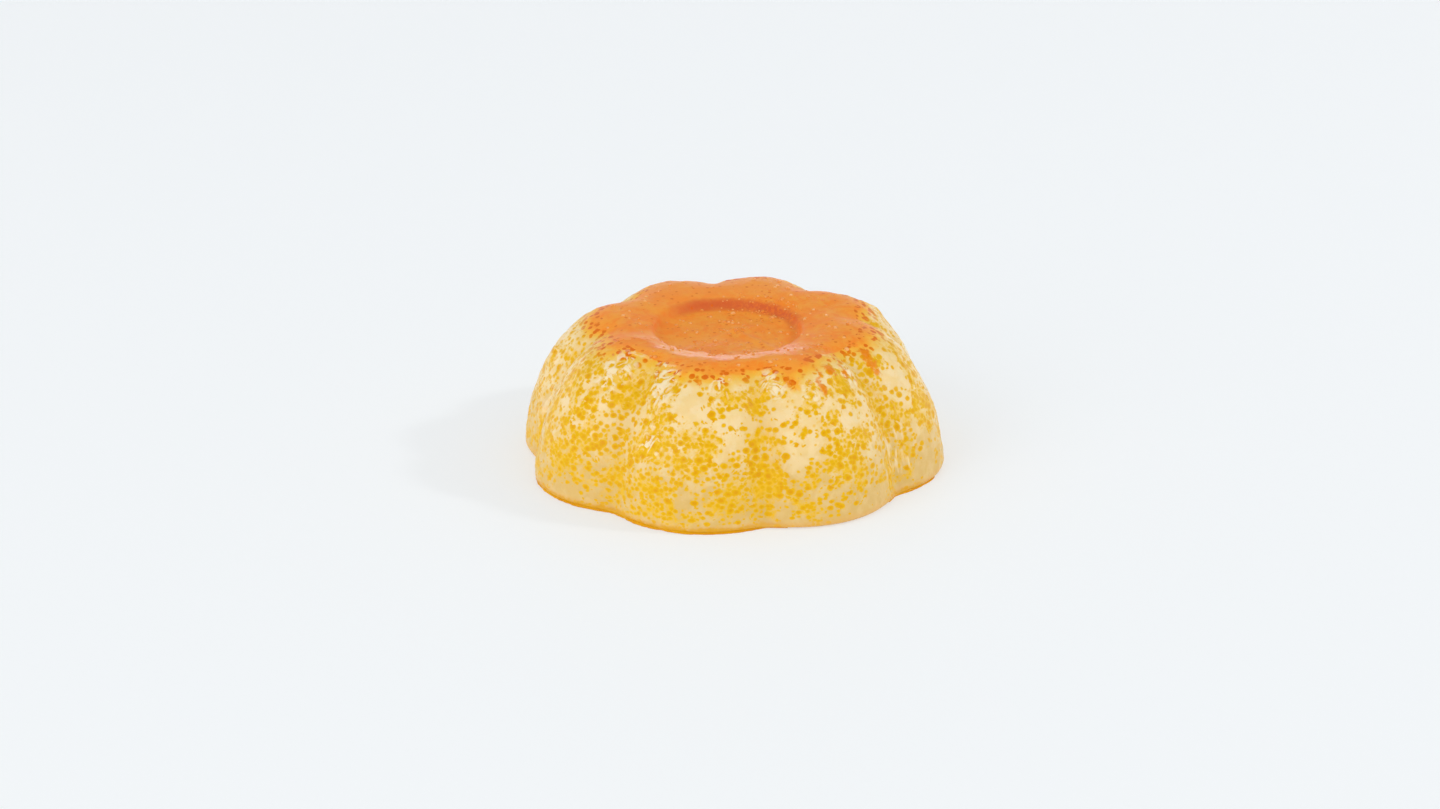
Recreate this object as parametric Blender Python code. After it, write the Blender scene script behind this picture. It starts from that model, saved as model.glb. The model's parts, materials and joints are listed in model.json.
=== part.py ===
"""A caramel pudding turned out of a fluted mould: one solid of baked custard.

The mould's eight flutes make eight rounded lobes with grooves between them. They run from
the foot, up the wall and over the shoulder, and die out at the ring on the top. Inside the
ring, down a soft lip, lies the round, shallow dimple left by the boss in the mould's floor.
The caramel is only a stain and a film on the custard, so it is no solid of its own.

Metres, +Z up. The origin is under the middle of the flat underside.
"""

import math

import bmesh
import bpy

# Driving sizes of the pudding
FOOT_RADIUS = 0.0480  # axis to the tip of a lobe, at the foot
HEIGHT = 0.0318  # underside to the top of the shoulder
SHOULDER_RADIUS = 0.0265  # where the wall's curve reaches its full height
FOOT_ROUND = 0.0010  # rounding of the bottom edge
WALL_BOW = 1.73  # powers of the curve from foot to shoulder: how upright the wall starts
SHOULDER_BOW = 2.05  # and how softly it turns over into the top

# Ring and dimple on the top
RING_RADIUS = 0.0255  # crest of the ring
DIMPLE_RADIUS = 0.0166  # top edge of the dimple's wall
FLOOR_RADIUS = 0.0159  # foot of the dimple's wall
DIMPLE_DEPTH = 0.0031  # crest down to the dimple's floor
LIP_DROP = 0.33  # share of that depth between the crest and the top edge of the wall
LIP_BOW = 1.8  # power by which the lip steepens towards the wall
FLOOR_DOME = 0.0002  # the floor's middle above its edge
DIMPLE_SHIFT = (-0.0016, -0.0018)  # the dimple sits a little off the middle
DIMPLE_STRETCH = 1.04  # and is a little longer along Y than it is wide
SHIFT_REACH = 0.0301  # radius at which the shift and the stretch have died out

# Flutes
LOBES = 8
GROOVE_AT_FOOT = 0.068  # how far a groove lies inside the lobes, as a share of the radius
GROOVE_AT_SHOULDER = 0.086
GROOVE_START = 0.0216  # radius on the top where the grooves begin
GROOVE_FULL = 0.0301  # and where they have their full depth
GROOVE_DROP = 0.026  # how far a groove lies below the lobes at the shoulder, as a share of height
SOFTNESS_AT_FOOT = 0.17  # rounding of the bottom of a groove
SOFTNESS_AT_SHOULDER = 0.26
# How far the middle of each lobe stands out past the even flower, from +X round by +Y
LOBE_SWELL = (0.0002, 0.0, 0.0, 0.0002, 0.0, 0.0001, 0.0, 0.0)

# Facets
FACETS_PER_LOBE = 18
CROWDING = 0.45  # how much closer the facets stand in a groove
WALL_STEPS = 12
LIP_STEPS = 4
DIMPLE_STEPS = 4
FOOT_STEPS = 2

CUSTARD_COLOUR = (0.86, 0.57, 0.17, 1.0)
CUSTARD_ROUGHNESS = 0.28


def clear_scene():
    for old in list(bpy.data.objects):
        bpy.data.objects.remove(old)


def ease(share):
    """0 to 1, flat at both ends, for a share of the way that may lie outside 0 to 1."""
    share = min(max(share, 0.0), 1.0)
    return share * share * (3.0 - 2.0 * share)


def foot_points():
    """The rounded bottom edge, from the underside out to the wall."""
    points = []
    for step in range(FOOT_STEPS):
        turn = math.pi / 2 * step / FOOT_STEPS
        radius = FOOT_RADIUS - FOOT_ROUND + FOOT_ROUND * math.sin(turn)
        points.append((radius, FOOT_ROUND * (1.0 - math.cos(turn))))
    return points


def wall_radius(height):
    """Radius of the middle of a lobe at a height on the wall."""
    share = min(max(height / HEIGHT, 0.0), 1.0)
    inset = (1.0 - share**WALL_BOW) ** (1.0 / SHOULDER_BOW)
    return SHOULDER_RADIUS + (FOOT_RADIUS - SHOULDER_RADIUS) * inset


def wall_points():
    """The wall and shoulder, with closer steps where the curve turns over."""
    points = []
    for step in range(WALL_STEPS + 1):
        share = math.sin(math.pi / 2 * step / WALL_STEPS) ** (2.0 / WALL_BOW)
        height = FOOT_ROUND + (HEIGHT - FOOT_ROUND) * share
        points.append((wall_radius(height), height))
    return points


def lip_points():
    """From the crest of the ring down its inner side, which steepens towards the dimple."""
    points = []
    for step in range(LIP_STEPS):
        share = step / LIP_STEPS
        radius = RING_RADIUS + (DIMPLE_RADIUS - RING_RADIUS) * share
        points.append((radius, HEIGHT - LIP_DROP * DIMPLE_DEPTH * share**LIP_BOW))
    return points


def dimple_points():
    """Down the dimple's wall to its floor, which is a little domed."""
    points = []
    for step in range(DIMPLE_STEPS + 1):
        share = step / DIMPLE_STEPS
        radius = DIMPLE_RADIUS + (FLOOR_RADIUS - DIMPLE_RADIUS) * share
        drop = LIP_DROP + (1.0 - LIP_DROP) * ease(share)
        points.append((radius, HEIGHT - DIMPLE_DEPTH * drop))
    for share in (0.5, 0.0):
        dome = FLOOR_DOME * (1.0 - share * share)
        points.append((FLOOR_RADIUS * share, HEIGHT - DIMPLE_DEPTH + dome))
    return points


def turned_body(profile):
    """The profile, in radius and height, spun once round the axis."""
    mesh = bmesh.new()
    points = [mesh.verts.new((radius, 0.0, height)) for radius, height in profile]
    edges = [mesh.edges.new(pair) for pair in zip(points, points[1:])]
    bmesh.ops.spin(
        mesh,
        geom=points + edges,
        axis=(0.0, 0.0, 1.0),
        cent=(0.0, 0.0, 0.0),
        angle=2.0 * math.pi,
        steps=LOBES * FACETS_PER_LOBE,
    )
    bmesh.ops.remove_doubles(mesh, verts=mesh.verts, dist=1e-6)
    bmesh.ops.recalc_face_normals(mesh, faces=mesh.faces)
    return mesh


def groove_share(angle, softness):
    """0 on the middle of a lobe and 1 at the bottom of a groove, which is rounded."""
    across = math.hypot(math.sin(LOBES / 2 * angle), softness)
    return 1.0 - (across - softness) / (math.hypot(1.0, softness) - softness)


def lobe_swell(angle):
    """How far the lobe at this angle stands out past the even flower, most in its middle."""
    turn = angle % (2.0 * math.pi)
    lobe = int(turn / (2.0 * math.pi / LOBES)) % LOBES
    return LOBE_SWELL[lobe] * math.sin(LOBES / 2 * angle) ** 2


def press_flutes(mesh):
    """Pulls the turned body in and down along the grooves, and lets each lobe swell a little."""
    for vertex in mesh.verts:
        x, y, height = vertex.co
        radius = math.hypot(x, y)
        if radius < 1e-6:
            continue
        angle = math.atan2(y, x)
        angle -= CROWDING * math.sin(LOBES * angle) / LOBES
        share = min(height / HEIGHT, 1.0)
        fade = ease((radius - GROOVE_START) / (GROOVE_FULL - GROOVE_START))
        softness = SOFTNESS_AT_FOOT + (SOFTNESS_AT_SHOULDER - SOFTNESS_AT_FOOT) * share
        groove = groove_share(angle, softness) * fade
        depth = GROOVE_AT_FOOT + (GROOVE_AT_SHOULDER - GROOVE_AT_FOOT) * share
        pressed = radius * (1.0 - depth * groove) + lobe_swell(angle) * fade
        vertex.co.x = pressed * math.cos(angle)
        vertex.co.y = pressed * math.sin(angle)
        vertex.co.z = height * (1.0 - GROOVE_DROP * groove * share * share)


def shift_dimple(mesh):
    """Slides the dimple off the middle and stretches it, which both die out at the shoulder."""
    for vertex in mesh.verts:
        if vertex.co.z < HEIGHT / 2:
            continue
        radius = math.hypot(vertex.co.x, vertex.co.y)
        fade = 1.0 - ease((radius - DIMPLE_RADIUS) / (SHIFT_REACH - DIMPLE_RADIUS))
        vertex.co.x += DIMPLE_SHIFT[0] * fade
        vertex.co.y *= 1.0 + (DIMPLE_STRETCH - 1.0) * fade
        vertex.co.y += DIMPLE_SHIFT[1] * fade


def centre_on_origin(mesh):
    """Moves the body so that the middle of its box is over the origin."""
    for axis in range(2):
        places = [vertex.co[axis] for vertex in mesh.verts]
        middle = (min(places) + max(places)) / 2
        for vertex in mesh.verts:
            vertex.co[axis] -= middle


def custard_material():
    material = bpy.data.materials.new("baked_custard")
    material.use_nodes = True
    shader = material.node_tree.nodes["Principled BSDF"]
    shader.inputs["Base Color"].default_value = CUSTARD_COLOUR
    shader.inputs["Roughness"].default_value = CUSTARD_ROUGHNESS
    shader.inputs["Metallic"].default_value = 0.0
    material.diffuse_color = CUSTARD_COLOUR
    return material


def make_pudding():
    underside = [(0.0, 0.0)]
    profile = underside + foot_points() + wall_points() + lip_points() + dimple_points()
    mesh = turned_body(profile)
    press_flutes(mesh)
    centre_on_origin(mesh)
    shift_dimple(mesh)
    data = bpy.data.meshes.new("caramel_pudding")
    mesh.to_mesh(data)
    mesh.free()
    data.shade_smooth()
    data.set_sharp_from_angle(angle=math.radians(50))
    data.materials.append(custard_material())
    pudding = bpy.data.objects.new("caramel_pudding", data)
    bpy.context.scene.collection.objects.link(pudding)


clear_scene()
make_pudding()
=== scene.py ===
"""Dresses the caramel pudding: baked custard with syrup-filled pores, a caramel-stained top,
syrup at the foot, and a plain pale stage. Metres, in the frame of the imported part, +Z up.

It is laid out as an add-on, with an operator for each piece, and runs as a script.
"""

import json
import math
import random

import bpy
import numpy as np
from mathutils import Matrix, Vector, noise
from mathutils.bvhtree import BVHTree

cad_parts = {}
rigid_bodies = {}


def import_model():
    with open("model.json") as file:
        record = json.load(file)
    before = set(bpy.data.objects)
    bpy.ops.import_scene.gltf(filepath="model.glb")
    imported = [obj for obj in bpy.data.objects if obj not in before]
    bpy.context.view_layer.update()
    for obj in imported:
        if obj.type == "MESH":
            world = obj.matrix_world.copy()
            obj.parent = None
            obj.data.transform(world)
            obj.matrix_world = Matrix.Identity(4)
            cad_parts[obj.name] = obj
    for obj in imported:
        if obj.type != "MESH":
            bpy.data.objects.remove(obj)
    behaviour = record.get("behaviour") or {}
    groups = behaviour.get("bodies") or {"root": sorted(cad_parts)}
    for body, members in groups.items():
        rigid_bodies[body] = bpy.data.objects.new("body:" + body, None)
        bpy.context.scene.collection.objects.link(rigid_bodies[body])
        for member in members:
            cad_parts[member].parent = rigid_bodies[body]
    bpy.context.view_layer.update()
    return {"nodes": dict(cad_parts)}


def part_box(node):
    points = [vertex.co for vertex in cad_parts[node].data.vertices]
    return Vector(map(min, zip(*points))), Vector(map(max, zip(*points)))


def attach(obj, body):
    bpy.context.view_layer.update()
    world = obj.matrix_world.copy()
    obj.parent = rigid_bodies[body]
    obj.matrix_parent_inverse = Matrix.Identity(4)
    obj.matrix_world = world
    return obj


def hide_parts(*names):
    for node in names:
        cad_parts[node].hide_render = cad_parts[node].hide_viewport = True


bl_info = {
    "name": "Caramel Pudding",
    "version": (1, 0, 0),
    "blender": (4, 5, 0),
    "location": "3D View > Sidebar > Pudding",
    "description": "Custard, caramel and stage for a pudding turned out of a fluted mould",
    "category": "Object",
}

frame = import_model()
LOW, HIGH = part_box("caramel_pudding")
TOP = HIGH.z
LOBES = 8
DIMPLE_MIDDLE = (-0.0016, -0.0018)
DIMPLE_STRETCH = 1.04


# The even light of the room by the height of its direction, 0 at the horizon and 1 overhead:
# a bright bluish wall, a dim gap, the open sheet above it and the dimmer ceiling.
ROOM_BANDS = (
    (0.10, (1.72, 1.78, 2.04)),
    (0.29, (0.32, 0.32, 0.32)),
    (0.43, (0.32, 0.32, 0.32)),
    (0.50, (0.88, 0.88, 0.88)),
    (0.60, (0.88, 0.88, 0.88)),
    (0.70, (0.62, 0.62, 0.62)),
)
# How the baked bubbles crowd (above 0) or leave the wall bare (below 0): the angle round the
# axis in degrees, the height, the spread and the amount.
CROWDS = (
    (-124, 0.0180, 0.0038, 0.60),
    (-162, 0.0255, 0.0040, 0.25),
    (-139, 0.0250, 0.0026, 0.35),
    (-150, 0.0110, 0.0045, 0.25),
    (-101, 0.0272, 0.0012, 0.50),
    (-121, 0.0060, 0.0060, 0.30),
    (-89, 0.0095, 0.0035, 0.50),
    (-108, 0.0178, 0.0040, 0.15),
    (-40, 0.0110, 0.0035, 0.22),
    (-70, 0.0140, 0.0030, 0.35),
    (-62, 0.0160, 0.0035, 0.25),
    (-47, 0.0190, 0.0030, 0.20),
    (-59, 0.0277, 0.0018, 0.50),
    (-35, 0.0275, 0.0020, 0.50),
    (-165, 0.0170, 0.0040, 0.20),
    (-30, 0.0170, 0.0040, 0.30),
    (-90, 0.0262, 0.0018, 0.40),
    (-114, 0.0262, 0.0028, -0.70),
    (-98, 0.0232, 0.0026, -0.65),
    (-84, 0.0235, 0.0026, -0.55),
    (-80, 0.0150, 0.0034, -0.55),
    (-134, 0.0205, 0.0026, -0.40),
    (-151, 0.0026, 0.0040, -0.45),
    (-58, 0.0020, 0.0055, -0.50),
    (-75, 0.0275, 0.0020, -0.60),
    (-32, 0.0235, 0.0035, -0.50),
    (-62, 0.0210, 0.0028, -0.50),
    (-24, 0.0105, 0.0050, -0.15),
    (-32, 0.0040, 0.0040, -0.35),
    (-50, 0.0120, 0.0022, -0.35),
    (178, 0.0140, 0.0060, -0.15),
)
# Where the skin is torn into pale curds, in the same terms.
CURDLINGS = (
    (-126, 0.0282, 0.0044, 0.30),
    (-147, 0.0278, 0.0042, 0.28),
    (-104, 0.0284, 0.0030, 0.24),
    (-84, 0.0282, 0.0030, 0.26),
    (-124, 0.0175, 0.0044, 0.22),
    (-72, 0.0268, 0.0030, 0.22),
    (-52, 0.0275, 0.0030, 0.22),
)
# Where the skin has fine upright wrinkles, in the grooves alone.
WRINKLES = (
    (180, 0.0170, 0.0120, 1.00),
    (-45, 0.0110, 0.0110, 0.80),
    (5, 0.0270, 0.0060, 0.80),
    (135, 0.0150, 0.0120, 0.80),
)
# Where syrup has soaked into the edge at the foot.
FOOTINGS = (
    (-165, 0.0, 0.0120, 0.8),
    (-140, 0.0, 0.0140, 0.9),
    (-115, 0.0, 0.0140, 0.9),
    (-95, 0.0, 0.0100, 0.6),
    (-42, 0.0, 0.0070, 0.9),
)
# Where the caramel runs lower than elsewhere, or stops higher: by how many metres is the amount.
RUNS = (
    (-77, 0.0278, 0.0024, 0.0024),
    (-100, 0.0300, 0.0050, 0.0005),
    (-59, 0.0305, 0.0030, -0.0007),
    (-145, 0.0305, 0.0050, -0.0006),
    (-33, 0.0290, 0.0035, 0.0006),
    (172, 0.0290, 0.0060, 0.0010),
    (12, 0.0290, 0.0060, 0.0006),
)
# Small bumps of the skin: the amount is their height in metres.
LUMPS = (
    (5, 0.0225, 0.0013, 0.0009),
    (166, 0.0225, 0.0016, 0.0006),
    (176, 0.0110, 0.0018, 0.0007),
    (20, 0.0275, 0.0020, 0.0006),
    (-141, 0.0300, 0.0010, 0.0004),
    (-119, 0.0303, 0.0010, 0.0004),
    (-60, 0.0292, 0.0011, 0.0004),
)
# Where syrup stands on the wall under the edge of the caramel.
PUDDLES = (
    (-66, 0.0303, 0.0011, 0.70),
    (-60.5, 0.0295, 0.0013, 0.85),
    (-54, 0.0282, 0.0013, 0.82),
    (-50, 0.0264, 0.0010, 0.62),
    (-36, 0.0290, 0.0014, 0.74),
    (-37.5, 0.0273, 0.0013, 0.72),
    (-38, 0.0258, 0.0010, 0.62),
    (-67.5, 0.0280, 0.0012, 0.75),
    (-67, 0.0268, 0.0010, 0.60),
    (-78, 0.0290, 0.0014, 0.60),
    (-131, 0.0290, 0.0011, 0.62),
    (-112, 0.0296, 0.0011, 0.60),
    (-124, 0.0184, 0.0012, 0.55),
)


# Where syrup has run round the foot: from and to which angle, and its radius in the middle.
FOOT_RUNS = ((-176, -84, 0.00058), (-50, -28, 0.00046))
FOOT_HEIGHT = 0.0008


# ---------------------------------------------------------------- settings


def tint(name, description, colour):
    """A colour that the user may change."""
    return bpy.props.FloatVectorProperty(
        name=name,
        description=description,
        subtype="COLOR",
        size=4,
        min=0.0,
        max=1.0,
        default=(*colour, 1.0),
    )


class CustardSettings(bpy.types.PropertyGroup):
    """Grain of the custard's mesh and depth of its relief."""

    grain: bpy.props.FloatProperty(
        name="Grain", description="Size of the faces", default=0.00044, unit="LENGTH", precision=5
    )
    pore_depth: bpy.props.FloatProperty(
        name="Pore depth",
        description="Depth of the baked bubbles on the wall",
        default=0.00002,
        unit="LENGTH",
        precision=5,
    )
    curd_rise: bpy.props.FloatProperty(
        name="Curd rise",
        description="Height of the torn skin under the shoulder",
        default=0.00024,
        unit="LENGTH",
        precision=5,
    )
    cream: tint("Cream", "Custard below the shoulder", (0.90, 0.655, 0.285))
    pale: tint("Pale", "Palest blotches of the custard", (0.93, 0.73, 0.42))
    # Painted shade of the cream: darker and yellower low on the wall and in the grooves.
    shaded_cream: tint("Yolk", "Yellower custard near the foot", (0.75, 0.49, 0.155))
    wash: tint("Wash", "Thin syrup soaked into the wall", (0.88, 0.51, 0.008))
    pore: tint("Pore", "Syrup in the baked bubbles", (0.825, 0.462, 0.001))
    pore_heart: tint("Pore heart", "Deepest syrup in the bubbles", (0.785, 0.365, 0.001))
    puddle: tint("Puddle", "Syrup standing under the edge of the caramel", (0.85, 0.26, 0.002))
    burnt_pore: tint("Burnt pore", "Syrup in the bubbles by the caramel", (0.77, 0.155, 0.001))
    curd: tint("Curd", "Torn flecks of custard", (0.96, 0.78, 0.49))
    foot: tint("Foot", "Browned edge at the foot", (0.80, 0.43, 0.11))
    edge: tint("Edge", "Syrup soaked into the edge at the foot", (0.76, 0.37, 0.002))
    rim: tint("Rim", "Thin stain at the edge of the caramel", (0.96, 0.44, 0.035))
    caramel: tint("Caramel", "Stained top", (0.95, 0.26, 0.018))
    amber: tint("Amber", "Thinner stain on the top", (0.95, 0.345, 0.036))
    # Paler, bluer caramel at the back of the top: a thinner stain with a painted sheen.
    thin: tint("Thin caramel", "Thinnest stain, at the back of the top", (0.93, 0.345, 0.065))
    # Darker caramel on the dimple's wall, with painted shade on its far side.
    dark_caramel_and_shade: tint("Burnt caramel", "Caramel on the wall of the dimple", (0.66, 0.125, 0.034))


class BubbleSettings(bpy.types.PropertyGroup):
    """Bubbles that stand in the caramel."""

    count: bpy.props.IntProperty(name="Count", description="Number of bubbles", default=240, min=1)
    seed: bpy.props.IntProperty(name="Seed", description="Choice of their places", default=4)
    radius: bpy.props.FloatProperty(
        name="Radius", description="Radius of the largest", default=0.00056, unit="LENGTH", precision=5
    )
    height: bpy.props.FloatProperty(name="Height", description="Height as a share of the radius", default=0.7)
    spread: bpy.props.FloatProperty(
        name="Spread", description="How far from the middle they lie", default=0.0290, unit="LENGTH"
    )
    froth: bpy.props.FloatProperty(
        name="Froth", description="Share of small bubbles along the dimple's wall", default=0.30
    )
    # Paler than the caramel: the bubbles' own colour with a painted glint.
    clear: tint("Clear", "Thin bubbles", (0.95, 0.46, 0.14))
    dark: tint("Dark", "Bubbles over thicker caramel", (0.88, 0.29, 0.04))


class SyrupSettings(bpy.types.PropertyGroup):
    """Syrup that has run down to the floor."""

    step: bpy.props.FloatProperty(
        name="Step", description="Length of a stretch of the bead", default=0.0005, unit="LENGTH", precision=5
    )
    sunk: bpy.props.FloatProperty(
        name="Sunk",
        description="How far the bead's middle lies inside the custard",
        default=0.00028,
        unit="LENGTH",
        precision=5,
    )
    syrup: tint("Syrup", "Thin syrup at the foot", (0.76, 0.36, 0.002))
    thick: tint("Thick syrup", "Syrup where it is deepest", (0.68, 0.28, 0.001))


class StageSettings(bpy.types.PropertyGroup):
    """Camera, floor and light."""

    azimuth: bpy.props.FloatProperty(
        name="Azimuth", description="Camera's turn round the object", default=-8.94
    )
    elevation: bpy.props.FloatProperty(
        name="Elevation", description="Camera's height above the horizon", default=22.47
    )
    distance: bpy.props.FloatProperty(
        name="Distance", description="Camera to the foot's middle", default=0.789, unit="LENGTH"
    )
    lens: bpy.props.FloatProperty(name="Lens", description="Focal length in mm", default=87.25)
    rise: bpy.props.FloatProperty(
        name="Rise", description="Aim above the foot's middle", default=0.01043, unit="LENGTH"
    )
    aside: bpy.props.FloatProperty(
        name="Aside", description="Aim to the left of the foot's middle", default=0.00303, unit="LENGTH"
    )
    floor: tint("Floor", "Colour of the floor", (0.500, 0.521, 0.529))
    glow: tint("Glow", "Light that comes up through the floor", (0.440, 0.452, 0.461))
    room: bpy.props.FloatProperty(name="Room", description="Strength of the even light", default=1.0)
    key: bpy.props.FloatProperty(name="Key", description="Power of the lamp on the right", default=6.1)
    fill: bpy.props.FloatProperty(
        name="Fill", description="Power of the wide lamp in front on the left", default=8.2
    )


# ---------------------------------------------------------------- node helpers


class Recipe:
    """Adds the same pattern nodes to a material's tree or to a geometry tree."""

    def __init__(self, tree):
        self.tree = tree
        self.in_shader = tree.bl_idname == "ShaderNodeTree"
        if self.in_shader:
            self.point = self.add("ShaderNodeTexCoord").outputs["Object"]
        else:
            self.point = self.add("GeometryNodeInputPosition").outputs[0]
        parts = self.add("ShaderNodeSeparateXYZ", {0: self.point})
        self.x, self.y, self.z = parts.outputs
        square = self.sum(self.times(self.x, self.x), self.times(self.y, self.y))
        self.radius = self.math("SQRT", square)

    def add(self, kind, inputs=None, **settings):
        node = self.tree.nodes.new(kind)
        for name, value in settings.items():
            setattr(node, name, value)
        for key, value in (inputs or {}).items():
            self.give(node.inputs[key], value)
        return node

    def give(self, socket, value):
        if isinstance(value, bpy.types.NodeSocket):
            self.tree.links.new(value, socket)
        else:
            socket.default_value = value

    def math(self, operation, *values):
        return self.add("ShaderNodeMath", dict(enumerate(values)), operation=operation).outputs[0]

    def times(self, a, b):
        return self.math("MULTIPLY", a, b)

    def sum(self, *values):
        total = values[0]
        for value in values[1:]:
            total = self.math("ADD", total, value)
        return total

    def less(self, a, b):
        return self.math("SUBTRACT", a, b)

    def most(self, *values):
        top = values[0]
        for value in values[1:]:
            top = self.math("MAXIMUM", top, value)
        return top

    def inverse(self, a):
        return self.math("SUBTRACT", 1.0, a)

    def ramp(self, value, start, end, low=0.0, high=1.0):
        """Eases from low at start to high at end, and stays there."""
        node = self.add(
            "ShaderNodeMapRange",
            {0: value, 1: start, 2: end, 3: low, 4: high},
            interpolation_type="SMOOTHSTEP",
        )
        return node.outputs[0]

    def field(self, name):
        """A value that was laid on the mesh's points."""
        if self.in_shader:
            return self.add("ShaderNodeAttribute", attribute_name=name).outputs["Fac"]
        return self.add("GeometryNodeInputNamedAttribute", {"Name": name}).outputs[0]

    def vector(self, operation, a, b):
        key = "Scale" if operation == "SCALE" else 1
        return self.add("ShaderNodeVectorMath", {0: a, key: b}, operation=operation).outputs[0]

    def noise(self, size, detail=2.0, roughness=0.5, distortion=0.0, point=None, offset=0.0):
        """Cloudy noise about zero, from -0.5 to 0.5, with blotches of this size."""
        point = point or self.point
        if offset:
            point = self.vector("ADD", point, (offset, offset, offset))
        settings = {
            "Vector": point,
            "Scale": 1.0 / size,
            "Detail": detail,
            "Roughness": roughness,
            "Distortion": distortion,
        }
        return self.less(self.add("ShaderNodeTexNoise", settings).outputs[0], 0.5)

    def warped(self, size, reach):
        """The point pushed about by noise, so that round spots turn uneven."""
        node = self.add("ShaderNodeTexNoise", {"Vector": self.point, "Scale": 1.0 / size, "Detail": 2.0})
        centred = self.vector("SUBTRACT", node.outputs[1], (0.5, 0.5, 0.5))
        return self.vector("ADD", self.point, self.vector("SCALE", centred, reach))

    def spots(self, point, cell, reach, crowd):
        """Round spots of up to the reach, in more of the cells where the crowd is higher.

        Gives how far inside the rim of the nearest spot the point lies, in metres.
        """
        node = self.add("ShaderNodeTexVoronoi", {"Vector": point, "Scale": 1.0 / cell})
        chance, share, _ = self.add("ShaderNodeSeparateXYZ", {0: node.outputs["Color"]}).outputs
        there = self.ramp(self.less(crowd, chance), -0.04, 0.06)
        size = self.times(self.times(self.ramp(share, 0.0, 1.0, 0.7, 1.0), reach), there)
        return self.less(size, self.times(node.outputs["Distance"], cell))


def skin_fields(r):
    """What lies where on the custard: each field is 0 to 1."""
    ragged = r.sum(r.times(r.noise(0.0055, 3.0), 0.0016), r.times(r.noise(0.0014, 2.0), 0.0009))
    groove = r.field("groove")
    inside = r.ramp(r.radius, 0.0285, 0.0250)
    level = r.sum(r.z, ragged, r.field("running"), r.times(inside, 0.01), r.times(groove, 0.0005))
    stain = r.ramp(level, 0.0294, 0.0309)
    core = r.ramp(level, 0.0304, 0.0313)
    border = r.ramp(level, 0.0284, 0.0301)
    wall = r.inverse(core)

    crowd = r.sum(
        0.61,
        r.times(r.noise(0.0055, 3.0, 0.6, 0.5), 2.3),
        r.field("crowding"),
        r.times(groove, 0.10),
    )
    crowd = r.times(crowd, r.ramp(r.z, 0.0004, 0.0040, 0.60, 1.0))
    rimmed = r.times(r.ramp(level, 0.0290, 0.0300), r.ramp(level, 0.0326, 0.0314))
    bent = r.warped(0.0012, 0.0004)
    # The pores lie flatter towards the foot, where the pudding has settled.
    x, y, z = r.add("ShaderNodeSeparateXYZ", {0: bent}).outputs
    settled = r.times(z, r.less(1.50, r.times(z, 7.5)))
    flat = r.add("ShaderNodeCombineXYZ", {0: x, 1: y, 2: settled}).outputs[0]
    bare = r.times(r.ramp(level, 0.0312, 0.0322), 2.0)
    large = r.spots(flat, 0.0022, 0.00104, r.less(r.sum(crowd, r.times(rimmed, 0.50)), bare))
    large = r.less(large, r.times(rimmed, 0.00018))
    middle = r.spots(flat, 0.00140, 0.00074, r.less(crowd, r.sum(bare, r.times(border, 0.2))))
    small = r.spots(bent, 0.00085, 0.00044, r.less(crowd, r.sum(0.30, border)))
    nearest = r.less(r.most(large, middle, small), r.ramp(r.z, 0.0130, 0.0040, 0.0, 0.00008))
    pores = r.ramp(nearest, -0.00016, 0.00012)
    hearts = r.ramp(nearest, 0.00012, 0.00060)
    halo = r.times(r.times(r.ramp(nearest, -0.00060, 0.0), r.ramp(crowd, 0.50, 0.90)), wall)
    mottle = r.ramp(r.noise(0.0036, 3.0, 0.6, 0.4, offset=0.91), -0.10, 0.14)
    mottle = r.times(mottle, r.ramp(r.z, 0.0040, 0.0220, 0.35, 1.0))
    soaked = r.sum(crowd, r.times(r.noise(0.0021, 3.0, 0.6, 0.8, offset=0.13), 1.5))
    wash = r.times(r.ramp(soaked, 0.98, 1.12), wall)
    haze = r.times(r.ramp(soaked, 0.56, 1.00), wall)
    vein = r.math("ABSOLUTE", r.noise(0.0017, 2.0, 0.5, 1.0, offset=0.57))
    veins = r.times(r.times(r.ramp(vein, 0.035, 0.008), r.ramp(crowd, 0.45, 0.80)), wall)
    puddles = r.sum(r.field("puddles"), r.times(r.noise(0.0016, 2.0, 0.5, 1.0, offset=0.4), 1.6))
    deep = r.times(r.ramp(puddles, 0.62, 1.05, 0.0, 0.5), wall)
    puddles = r.times(r.ramp(puddles, 0.38, 0.68), wall)

    swirl = r.noise(0.0031, 2.0, 0.5, 1.8, offset=0.31)
    torn = r.times(r.ramp(r.field("curdling"), 0.06, 0.22), wall)
    curds = r.times(r.ramp(swirl, 0.02, 0.11), torn)
    creases = r.times(r.ramp(swirl, -0.01, -0.08), torn)
    round_point = r.vector("SCALE", r.point, r.math("DIVIDE", 0.036, r.most(r.radius, 0.001)))
    along = r.sum(r.z, r.times(r.radius, -1.0))
    x, y, _ = r.add("ShaderNodeSeparateXYZ", {0: round_point}).outputs
    streak_point = r.add("ShaderNodeCombineXYZ", {0: x, 1: y, 2: r.times(along, 0.22)}).outputs[0]
    streaks = r.times(r.noise(0.0011, 2.0, 0.5, 0.3, point=streak_point), r.field("wrinkling"))
    speckled = r.sum(0.50, r.times(r.noise(0.0090, 1.0, offset=0.7), 0.9))
    pits = r.times(r.ramp(r.spots(r.point, 0.0015, 0.00042, speckled), -0.00004, 0.0001), core)
    return {
        "stain": stain,
        "core": core,
        "wall": wall,
        "groove": groove,
        "pores": pores,
        "hearts": hearts,
        "halo": halo,
        "mottle": mottle,
        "wash": wash,
        "haze": haze,
        "veins": veins,
        "border": r.times(border, wall),
        "curds": curds,
        "creases": creases,
        "puddles": puddles,
        "deep": deep,
        "pits": pits,
        "streaks": streaks,
        "level": level,
    }


# ---------------------------------------------------------------- materials


def new_material(name):
    material = bpy.data.materials.new(name)
    material.use_nodes = True
    return material, material.node_tree.nodes["Principled BSDF"]


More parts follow.
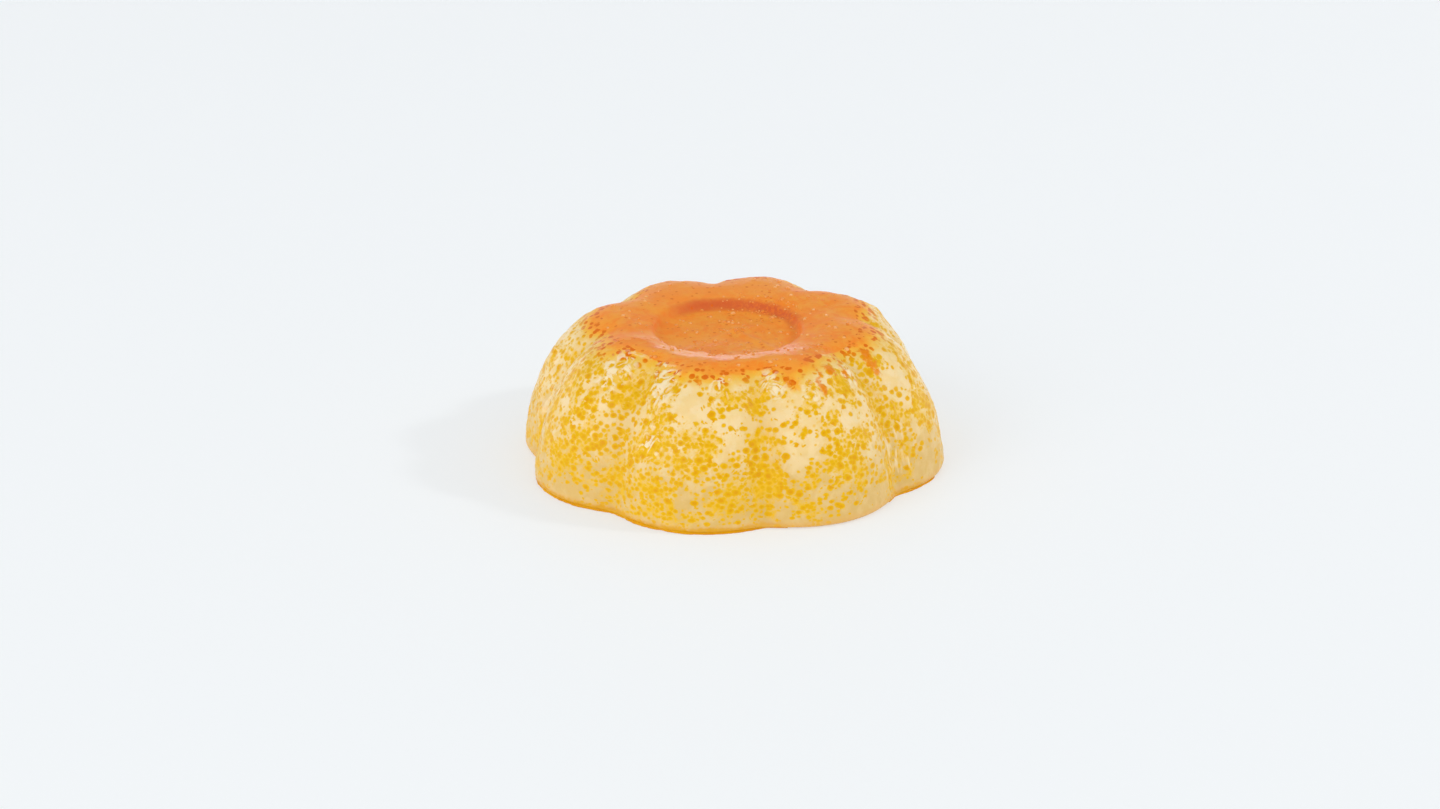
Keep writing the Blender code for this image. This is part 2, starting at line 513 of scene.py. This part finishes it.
def mixed(r, factor, a, b):
    node = r.add("ShaderNodeMix", data_type="RGBA")
    for index, value in zip((0, 6, 7), (factor, a, b)):
        r.give(node.inputs[index], value)
    return node.outputs[2]


def custard_material(settings):
    material, shader = new_material("baked_custard")
    r = Recipe(material.node_tree)
    fields = skin_fields(r)
    cream, shaded_cream, wash = tuple(settings.cream), tuple(settings.shaded_cream), tuple(settings.wash)

    # Darker and yellower towards the foot: painted shade of the lower wall.
    low = r.sum(r.ramp(r.z, 0.0240, 0.0030), r.times(r.noise(0.0070, 3.0, 0.5, 0.6, offset=0.77), 1.0))
    colour = mixed(r, r.ramp(low, 0.0, 1.0), cream, shaded_cream)
    colour = mixed(r, r.times(fields["mottle"], 0.62), colour, tuple(settings.pale))
    # Darker and yellower in the grooves: painted shade.
    colour = mixed(r, r.times(fields["groove"], 0.40), colour, tuple(settings.shaded_cream))
    colour = mixed(r, r.times(fields["haze"], 0.38), colour, wash)
    colour = mixed(r, r.times(fields["halo"], 0.40), colour, wash)
    colour = mixed(r, r.times(fields["veins"], 0.60), colour, wash)
    # Golden in the creases between the torn curds: syrup there, and painted shade.
    colour = mixed(r, r.times(fields["creases"], 0.75), colour, wash)
    colour = mixed(r, r.times(fields["wash"], 0.80), colour, wash)
    colour = mixed(r, r.times(fields["border"], 0.70), colour, wash)
    colour = mixed(r, fields["stain"], colour, tuple(settings.rim))
    colour = mixed(r, fields["core"], colour, top_colour(r, settings, fields))
    warm = r.ramp(fields["level"], 0.0285, 0.0306)
    pore_colour = mixed(r, fields["hearts"], tuple(settings.pore), tuple(settings.pore_heart))
    pore_colour = mixed(r, warm, pore_colour, tuple(settings.burnt_pore))
    colour = mixed(r, fields["pores"], colour, pore_colour)
    puddle = mixed(r, fields["deep"], tuple(settings.puddle), tuple(settings.burnt_pore))
    colour = mixed(r, r.times(fields["puddles"], 0.85), colour, puddle)
    pale = r.times(r.ramp(fields["streaks"], 0.01, 0.14), 0.60)
    pale = r.times(r.most(r.times(fields["curds"], 0.92), pale), fields["wall"])
    colour = mixed(r, pale, colour, tuple(settings.curd))
    foot = r.sum(r.z, r.times(r.noise(0.003, 2.0), 0.0012))
    colour = mixed(r, r.times(r.ramp(foot, 0.0026, 0.0003), 0.6), colour, tuple(settings.foot))
    foot = r.sum(r.z, r.times(r.noise(0.0018, 3.0, 0.6, offset=0.66), 0.0022))
    edge = r.times(r.ramp(foot, 0.0017, 0.0008), r.field("footing"))
    colour = mixed(r, r.times(edge, 0.85), colour, tuple(settings.edge))
    r.give(shader.inputs["Base Color"], colour)

    height = r.sum(
        r.times(r.noise(0.0006, 2.0), 0.00005),
        r.times(fields["puddles"], 0.00008),
        r.times(fields["streaks"], 0.00010),
    )
    bump = r.add("ShaderNodeBump", {"Height": height, "Distance": 1.0, "Strength": 1.0})
    r.give(shader.inputs["Normal"], bump.outputs[0])

    # The film of syrup lies thick and glossy on the front of the top and thin elsewhere.
    roughness = r.ramp(r.noise(0.003, 2.0, offset=0.2), -0.2, 0.2, 0.26, 0.42)
    film = r.ramp(r.sum(r.y, r.times(r.most(r.x, 0.0), 0.65)), -0.0130, -0.0020, 0.18, 0.46)
    film = r.sum(film, r.times(r.noise(0.0016, 2.0, 0.5, 0.8, offset=0.37), 0.22))
    r.give(shader.inputs["Roughness"], mixed(r, fields["stain"], roughness, film))
    shader.inputs["IOR"].default_value = 1.22
    shader.inputs["Subsurface Weight"].default_value = 0.2
    shader.inputs["Subsurface Radius"].default_value = (1.0, 0.6, 0.25)
    shader.inputs["Subsurface Scale"].default_value = 0.0006
    return material


def top_colour(r, settings, fields):
    """The stained top, darkest on the dimple's wall, where caramel has gathered and shade is painted in."""
    cloudy = r.sum(r.noise(0.0090, 3.0), r.times(r.noise(0.0018, 3.0, 0.6, 0.6, offset=0.47), 1.1))
    colour = mixed(r, r.ramp(cloudy, -0.20, 0.20), tuple(settings.caramel), tuple(settings.amber))
    # Paler towards the back of the top: thinner caramel with a painted sheen.
    colour = mixed(r, r.times(r.ramp(r.y, 0.0080, 0.0260), 0.6), colour, tuple(settings.thin))
    out = r.sum(r.field("dimple"), r.times(r.noise(0.0040, 2.0, offset=0.9), 0.0010))
    gathered = r.times(r.ramp(out, 0.0138, 0.0162), r.ramp(out, 0.0182, 0.0164))
    # Most of it lies on the far side, as painted shade there on top of the thicker caramel, and it is broken
    # up towards the right.
    lean = r.sum(r.times(r.x, 0.45), r.times(r.y, 0.89))
    gathered = r.times(gathered, r.ramp(lean, 0.0012, 0.0115, 0.18, 0.86))
    broken = r.ramp(r.noise(0.0007, 2.0, 0.6, 0.6, offset=0.83), -0.08, 0.16, 0.0, 0.42)
    broken = r.times(broken, r.ramp(r.x, -0.0010, 0.0110, 0.2, 1.0))
    gathered = r.times(gathered, r.inverse(broken))
    colour = mixed(r, gathered, colour, tuple(settings.dark_caramel_and_shade))
    return mixed(r, r.times(fields["pits"], 0.8), colour, tuple(settings.burnt_pore))


def syrup_material(settings):
    material, shader = new_material("amber_syrup")
    r = Recipe(material.node_tree)
    depth = r.ramp(r.noise(0.0060, 3.0, 0.5, 0.4, offset=0.23), -0.16, 0.18)
    r.give(shader.inputs["Base Color"], mixed(r, depth, tuple(settings.syrup), tuple(settings.thick)))
    r.give(shader.inputs["Roughness"], r.ramp(r.noise(0.0020, 2.0), -0.2, 0.2, 0.12, 0.24))
    shader.inputs["IOR"].default_value = 1.20
    shader.inputs["Subsurface Weight"].default_value = 0.3
    shader.inputs["Subsurface Radius"].default_value = (1.0, 0.4, 0.1)
    shader.inputs["Subsurface Scale"].default_value = 0.0006
    return material


def bubble_material(settings):
    material, shader = new_material("caramel_bubble")
    r = Recipe(material.node_tree)
    # The paler clear colour carries a painted glint on the bubbles.
    blotch = r.ramp(r.noise(0.0030, 2.0, offset=0.11), -0.12, 0.12)
    r.give(shader.inputs["Base Color"], mixed(r, blotch, tuple(settings.clear), tuple(settings.dark)))
    r.give(shader.inputs["Roughness"], r.ramp(r.noise(0.0015, 2.0), -0.2, 0.2, 0.06, 0.16))
    shader.inputs["IOR"].default_value = 1.40
    return material


def floor_material(settings):
    material, shader = new_material("pale_floor")
    shader.inputs["Base Color"].default_value = tuple(settings.floor)
    shader.inputs["Roughness"].default_value = 0.6
    shader.inputs["Specular IOR Level"].default_value = 0.1
    shader.inputs["Emission Color"].default_value = tuple(settings.glow)
    shader.inputs["Emission Strength"].default_value = 1.0
    return material


# ---------------------------------------------------------------- modelling helpers


def only(obj):
    """Selects this object alone and makes it active."""
    bpy.ops.object.select_all(action="DESELECT")
    obj.select_set(True)
    bpy.context.view_layer.objects.active = obj


def points_of(obj):
    places = np.empty(len(obj.data.vertices) * 3, np.float32)
    obj.data.vertices.foreach_get("co", places)
    return places.reshape(-1, 3)


def apply_all(obj):
    only(obj)
    for modifier in list(obj.modifiers):
        bpy.ops.object.modifier_apply(modifier=modifier.name)


def copy_of_node(name, new_name):
    """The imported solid's shape as a loose quad mesh of its own."""
    node = frame["nodes"][name]
    copy = bpy.data.objects.new(new_name, node.data.copy())
    bpy.context.scene.collection.objects.link(copy)
    copy.data.materials.clear()
    only(copy)
    bpy.ops.object.mode_set(mode="EDIT")
    bpy.ops.mesh.select_all(action="SELECT")
    bpy.ops.mesh.remove_doubles(threshold=1e-6)
    wide = math.radians(60)
    bpy.ops.mesh.tris_convert_to_quads(face_threshold=wide, shape_threshold=wide)
    bpy.ops.object.mode_set(mode="OBJECT")
    return copy


def relief_tree(settings):
    """Geometry nodes that push the skin in at the pores and out at the curds."""
    tree = bpy.data.node_groups.new("custard_relief", "GeometryNodeTree")
    tree.interface.new_socket("Geometry", in_out="INPUT", socket_type="NodeSocketGeometry")
    tree.interface.new_socket("Geometry", in_out="OUTPUT", socket_type="NodeSocketGeometry")
    r = Recipe(tree)
    fields = skin_fields(r)
    entry = r.add("NodeGroupInput")
    leave = r.add("NodeGroupOutput")
    wrinkles = r.times(fields["streaks"], fields["wall"])
    rise = r.sum(
        r.times(fields["pores"], -settings.pore_depth),
        r.times(fields["curds"], settings.curd_rise),
        r.times(r.noise(0.0100, 2.0, offset=0.5), 0.0009),
        r.times(r.times(r.noise(0.0028, 2.0, offset=0.6), fields["wall"]), 0.0007),
        r.times(wrinkles, 0.0006),
        r.times(r.times(fields["groove"], fields["groove"]), -0.0008),
        r.field("lumps"),
    )
    rise = r.times(rise, r.ramp(r.z, 0.0002, 0.0015))
    offset = r.vector("SCALE", r.add("GeometryNodeInputNormal").outputs[0], rise)
    move = r.add("GeometryNodeSetPosition", {"Geometry": entry.outputs[0], "Offset": offset})
    r.give(leave.inputs[0], move.outputs[0])
    return tree


def foot_place(custard_tree, angle):
    """Where the custard meets the floor in this direction from the middle."""
    outward = Vector((math.cos(angle), math.sin(angle), 0.0))
    start = outward * HIGH.x * 2 + Vector((0.0, 0.0, LOW.z + FOOT_HEIGHT))
    return custard_tree.ray_cast(start, -outward)[0]


def lay(obj, name, values):
    """Stores a value for each point of the mesh."""
    obj.data.attributes.new(name, "FLOAT", "POINT").data.foreach_set("value", values.astype(np.float32))


def gathered(places, spots):
    """The sum of soft spots on the wall, each with its own spread and amount."""
    angles = np.arctan2(places[:, 1], places[:, 0])
    radii = np.hypot(places[:, 0], places[:, 1])
    total = np.zeros(len(places))
    for angle, height, spread, amount in spots:
        turn = np.angle(np.exp(1j * (angles - math.radians(angle))))
        away = np.hypot(turn * radii, places[:, 2] - height) / spread
        total += amount * np.exp(-(away**2))
    return total


def dimple_radii(places):
    """Each point's distance from the dimple's middle, with the stretch taken out."""
    across = (places[:, :2] - np.array(DIMPLE_MIDDLE)) / (1.0, DIMPLE_STRETCH)
    return np.hypot(across[:, 0], across[:, 1])


def lay_fields(custard):
    places = points_of(custard).astype(float)
    radii = np.hypot(places[:, 0], places[:, 1])
    angles = np.arctan2(places[:, 1], places[:, 0])
    across = np.abs(np.sin(LOBES / 2 * angles))
    outer = np.clip((radii - 0.025) / 0.008, 0.0, 1.0)
    lay(custard, "groove", np.clip((0.55 - across) / 0.5, 0.0, 1.0) * outer)
    lay(custard, "crowding", gathered(places, CROWDS))
    lay(custard, "curdling", gathered(places, CURDLINGS))
    lay(custard, "running", gathered(places, RUNS))
    lay(custard, "puddles", gathered(places, PUDDLES))
    lay(custard, "lumps", gathered(places, LUMPS))
    lay(custard, "footing", np.minimum(gathered(places, FOOTINGS), 1.0))
    grooved = np.clip((0.80 - across) / 0.5, 0.0, 1.0) * outer
    lay(custard, "wrinkling", np.minimum(gathered(places, WRINKLES), 1.0) * grooved)
    lay(custard, "dimple", dimple_radii(places))


# ---------------------------------------------------------------- operators


class PUDDING_OT_custard(bpy.types.Operator):
    """Make the custard with its pores, torn skin and stained top"""

    bl_idname = "pudding.custard"
    bl_label = "Custard"

    def execute(self, context):
        settings = context.scene.custard_settings
        custard = copy_of_node("caramel_pudding", "custard")
        smooth = custard.modifiers.new("round", "SUBSURF")
        smooth.levels = smooth.render_levels = 2
        apply_all(custard)
        guide = custard.copy()
        guide.data = custard.data.copy()
        context.scene.collection.objects.link(guide)
        only(custard)
        custard.data.remesh_voxel_size = settings.grain
        custard.data.use_remesh_preserve_volume = True
        custard.data.use_remesh_fix_poles = True
        bpy.ops.object.voxel_remesh()
        relax = custard.modifiers.new("relax", "SMOOTH")
        relax.iterations = 4
        fit = custard.modifiers.new("fit", "SHRINKWRAP")
        fit.target = guide
        apply_all(custard)
        bpy.data.objects.remove(guide)
        self.soften_dimple(custard)
        self.clear_underside(custard)
        lay_fields(custard)
        relief = custard.modifiers.new("relief", "NODES")
        relief.node_group = relief_tree(settings)
        apply_all(custard)
        custard.data.shade_smooth()
        custard.data.materials.clear()
        custard.data.materials.append(custard_material(settings))
        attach(custard, "root")
        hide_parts("caramel_pudding")
        return {"FINISHED"}

    def soften_dimple(self, custard):
        """Rounds the top and the foot of the dimple's wall, as syrup has filled them."""
        away = dimple_radii(points_of(custard))
        edge = custard.vertex_groups.new(name="dimple_edge")
        for index in np.flatnonzero((away > 0.0130) & (away < 0.0190)):
            weight = min(away[index] - 0.0130, 0.0190 - away[index]) / 0.0015
            edge.add([int(index)], min(weight, 1.0), "REPLACE")
        soften = custard.modifiers.new("soften", "SMOOTH")
        soften.vertex_group = edge.name
        soften.iterations = 20
        apply_all(custard)
        custard.vertex_groups.clear()

    def clear_underside(self, custard):
        """Makes one flat face of the part of the underside that no one sees."""
        only(custard)
        bpy.ops.object.mode_set(mode="EDIT")
        bpy.ops.mesh.select_mode(type="FACE")
        bpy.ops.mesh.select_all(action="DESELECT")
        bpy.ops.object.mode_set(mode="OBJECT")
        for face in custard.data.polygons:
            face.select = face.center.z < 0.00004 and face.normal.z < -0.99
        bpy.ops.object.mode_set(mode="EDIT")
        bpy.ops.mesh.select_less()
        bpy.ops.mesh.dissolve_faces()
        bpy.ops.object.mode_set(mode="OBJECT")
        places = points_of(custard)
        flat = places[:, 2] < LOW.z + 0.00006
        places[flat, 2] = LOW.z
        custard.data.vertices.foreach_set("co", places.ravel())
        custard.data.update()


class PUDDING_OT_bubbles(bpy.types.Operator):
    """Scatter the small bubbles that stand in the caramel"""

    bl_idname = "pudding.bubbles"
    bl_label = "Bubbles"

    def execute(self, context):
        settings = context.scene.bubble_settings
        custard = bpy.data.objects["custard"]
        tree = BVHTree.FromObject(custard, context.evaluated_depsgraph_get())
        dice = random.Random(settings.seed)
        bpy.ops.object.select_all(action="DESELECT")
        bpy.ops.mesh.primitive_uv_sphere_add(
            segments=9, ring_count=6, radius=1.0, location=(0.0, 0.0, 0.0)
        )
        first = context.object
        self.cut_base(first)
        material = bubble_material(settings)
        copies = []
        while len(copies) < settings.count:
            reach = settings.spread * dice.random() ** dice.choice((0.5, 0.9))
            angle = dice.uniform(0.0, 2.0 * math.pi)
            size = settings.radius * (0.45 + 0.55 * dice.random() ** 2)
            if dice.random() < settings.froth:
                # The smallest have gathered along the dimple's wall.
                reach = dice.uniform(0.0125, 0.0175)
                angle = math.radians(dice.gauss(45, 28))
                size *= 0.6
            above = Vector((reach * math.cos(angle), reach * math.sin(angle), HIGH.z + 0.01))
            place, normal, _, _ = tree.ray_cast(above, Vector((0.0, 0.0, -1.0)))
            if place is None or normal.z < 0.70:
                continue
            copy = first.copy()
            copy.data = first.data.copy()
            context.scene.collection.objects.link(copy)
            flat = Matrix.Diagonal((size * dice.uniform(0.9, 1.3), size, size * settings.height, 1.0))
            turn = normal.to_track_quat("Z", "Y").to_matrix().to_4x4()
            copy.data.transform(Matrix.Translation(place) @ turn @ flat)
            copies.append(copy)
        bpy.data.objects.remove(first)
        only(copies[0])
        for copy in copies:
            copy.select_set(True)
        bpy.ops.object.join()
        bubbles = context.object
        bubbles.name = "caramel_bubbles"
        bubbles.data.shade_smooth()
        bubbles.data.materials.append(material)
        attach(bubbles, "root")
        return {"FINISHED"}

    def cut_base(self, bubble):
        """Cuts off the buried part of the bubble and closes it with one flat face."""
        only(bubble)
        bpy.ops.object.mode_set(mode="EDIT")
        bpy.ops.mesh.select_all(action="SELECT")
        bpy.ops.mesh.bisect(
            plane_co=(0.0, 0.0, -0.4), plane_no=(0.0, 0.0, 1.0), use_fill=True, clear_inner=True
        )
        bpy.ops.mesh.select_all(action="SELECT")
        bpy.ops.mesh.normals_make_consistent(inside=False)
        bpy.ops.object.mode_set(mode="OBJECT")


class PUDDING_OT_foot_syrup(bpy.types.Operator):
    """Make the bead of syrup that has run round the foot"""

    bl_idname = "pudding.foot_syrup"
    bl_label = "Foot syrup"

    def execute(self, context):
        settings = context.scene.syrup_settings
        custard = bpy.data.objects["custard"]
        tree = BVHTree.FromObject(custard, context.evaluated_depsgraph_get())
        beads = [self.bead(tree, settings, *run) for run in FOOT_RUNS]
        only(beads[0])
        for bead in beads:
            bead.select_set(True)
        bpy.ops.object.join()
        syrup = context.object
        syrup.name = "foot_syrup"
        self.flatten_underside()
        syrup.data.shade_smooth()
        syrup.data.materials.clear()
        syrup.data.materials.append(syrup_material(settings))
        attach(syrup, "root")
        return {"FINISHED"}

    def bead(self, tree, settings, first, last, radius):
        """One run of syrup as a rounded thread that thins out at both ends."""
        bpy.ops.object.select_all(action="DESELECT")
        bpy.ops.curve.primitive_nurbs_path_add(location=(0.0, 0.0, 0.0))
        thread = bpy.context.object
        curve = thread.data
        curve.splines.clear()
        length = math.radians(last - first) * HIGH.x
        count = int(length / settings.step)
        spline = curve.splines.new("POLY")
        spline.points.add(count)
        for index, point in enumerate(spline.points):
            share = index / count
            angle = math.radians(first + (last - first) * share)
            place = foot_place(tree, angle)
            inward = Vector((math.cos(angle), math.sin(angle), 0.0)) * settings.sunk
            place -= inward
            place.z = LOW.z + radius * 0.45
            uneven = 0.76 + 0.38 * noise.noise(place / 0.0040) + 0.26 * noise.noise(place / 0.0010)
            point.co = (*place, 1.0)
            point.radius = uneven * max(math.sin(math.pi * share), 0.02) ** 0.35
        curve.bevel_depth = radius
        curve.bevel_resolution = 3
        curve.use_fill_caps = True
        bpy.ops.object.convert(target="MESH")
        return bpy.context.object

    def flatten_underside(self):
        """Cuts the bead off level with the floor."""
        bpy.ops.object.mode_set(mode="EDIT")
        bpy.ops.mesh.select_all(action="SELECT")
        bpy.ops.mesh.remove_doubles(threshold=1e-6)
        bpy.ops.mesh.bisect(
            plane_co=(0.0, 0.0, LOW.z),
            plane_no=(0.0, 0.0, 1.0),
            use_fill=True,
            clear_inner=True,
            threshold=1e-7,
        )
        bpy.ops.mesh.select_all(action="SELECT")
        bpy.ops.mesh.normals_make_consistent(inside=False)
        bpy.ops.object.mode_set(mode="OBJECT")


class PUDDING_OT_stage(bpy.types.Operator):
    """Make the floor, the light and the camera"""

    bl_idname = "pudding.stage"
    bl_label = "Stage"

    def execute(self, context):
        settings = context.scene.stage_settings
        self.add_floor(settings)
        self.add_light(context, settings)
        self.add_camera(context, settings)
        return {"FINISHED"}

    def add_floor(self, settings):
        bpy.ops.object.select_all(action="DESELECT")
        bpy.ops.mesh.primitive_plane_add(size=30.0, location=(0.0, 0.0, LOW.z - 0.00003))
        floor = bpy.context.object
        floor.name = "floor"
        floor.data.materials.append(floor_material(settings))

    def add_light(self, context, settings):
        world = bpy.data.worlds.new("soft_studio")
        world.use_nodes = True
        nodes, links = world.node_tree.nodes, world.node_tree.links
        nodes["Background"].inputs["Strength"].default_value = settings.room
        parts = nodes.new("ShaderNodeSeparateXYZ")
        links.new(nodes.new("ShaderNodeTexCoord").outputs["Generated"], parts.inputs[0])
        bands = nodes.new("ShaderNodeValToRGB")
        links.new(parts.outputs["Z"], bands.inputs[0])
        links.new(bands.outputs[0], nodes["Background"].inputs["Color"])
        stops = bands.color_ramp.elements
        for stop, (height, colour) in zip((stops[0], stops[1]), (ROOM_BANDS[0], ROOM_BANDS[-1])):
            stop.position = height
            stop.color = (*colour, 1.0)
        for height, colour in ROOM_BANDS[1:-1]:
            stops.new(height).color = (*colour, 1.0)
        context.scene.world = world
        for name, place, width, height, power in (
            ("key", (1.50, -0.31, 1.12), 0.16, 0.16, settings.key),
            ("fill", (-1.25, -0.95, 0.80), 1.2, 1.2, settings.fill),
        ):
            light = bpy.data.lights.new(name, "AREA")
            light.shape = "RECTANGLE"
            light.size, light.size_y = width, height
            light.energy = power
            lamp = bpy.data.objects.new(name, light)
            lamp.location = place
            lamp.rotation_euler = (-Vector(place)).to_track_quat("-Z", "Y").to_euler()
            context.scene.collection.objects.link(lamp)

    def add_camera(self, context, settings):
        azimuth, elevation = math.radians(settings.azimuth), math.radians(settings.elevation)
        back = Vector(
            (
                math.sin(azimuth) * math.cos(elevation),
                -math.cos(azimuth) * math.cos(elevation),
                math.sin(elevation),
            )
        )
        turn = (-back).to_track_quat("-Z", "Y")
        right, up = turn @ Vector((1.0, 0.0, 0.0)), turn @ Vector((0.0, 1.0, 0.0))
        camera = bpy.data.cameras.new("camera")
        camera.lens = settings.lens
        camera.clip_start = 0.01
        camera.clip_end = 100.0
        stand = bpy.data.objects.new("camera", camera)
        stand.location = back * settings.distance
        aim = up * settings.rise - right * settings.aside
        stand.rotation_euler = (aim - stand.location).to_track_quat("-Z", "Y").to_euler()
        context.scene.collection.objects.link(stand)
        context.scene.camera = stand
        context.scene.view_settings.view_transform = "Standard"


class PUDDING_PT_panel(bpy.types.Panel):
    """Buttons that make the pudding's pieces"""

    bl_idname = "PUDDING_PT_panel"
    bl_label = "Caramel pudding"
    bl_space_type = "VIEW_3D"
    bl_region_type = "UI"
    bl_category = "Pudding"

    def draw(self, context):
        for kind in PIECES:
            self.layout.operator(kind.bl_idname)


PIECES = (PUDDING_OT_stage, PUDDING_OT_custard, PUDDING_OT_bubbles, PUDDING_OT_foot_syrup)
CLASSES = (CustardSettings, BubbleSettings, SyrupSettings, StageSettings, *PIECES, PUDDING_PT_panel)


def register():
    for kind in CLASSES:
        bpy.utils.register_class(kind)
    bpy.types.Scene.custard_settings = bpy.props.PointerProperty(type=CustardSettings)
    bpy.types.Scene.bubble_settings = bpy.props.PointerProperty(type=BubbleSettings)
    bpy.types.Scene.syrup_settings = bpy.props.PointerProperty(type=SyrupSettings)
    bpy.types.Scene.stage_settings = bpy.props.PointerProperty(type=StageSettings)


def unregister():
    del bpy.types.Scene.stage_settings
    del bpy.types.Scene.syrup_settings
    del bpy.types.Scene.bubble_settings
    del bpy.types.Scene.custard_settings
    for kind in reversed(CLASSES):
        bpy.utils.unregister_class(kind)


def main():
    register()
    bpy.ops.pudding.stage()
    bpy.ops.pudding.custard()
    bpy.ops.pudding.bubbles()
    bpy.ops.pudding.foot_syrup()


if __name__ == "__main__":
    main()
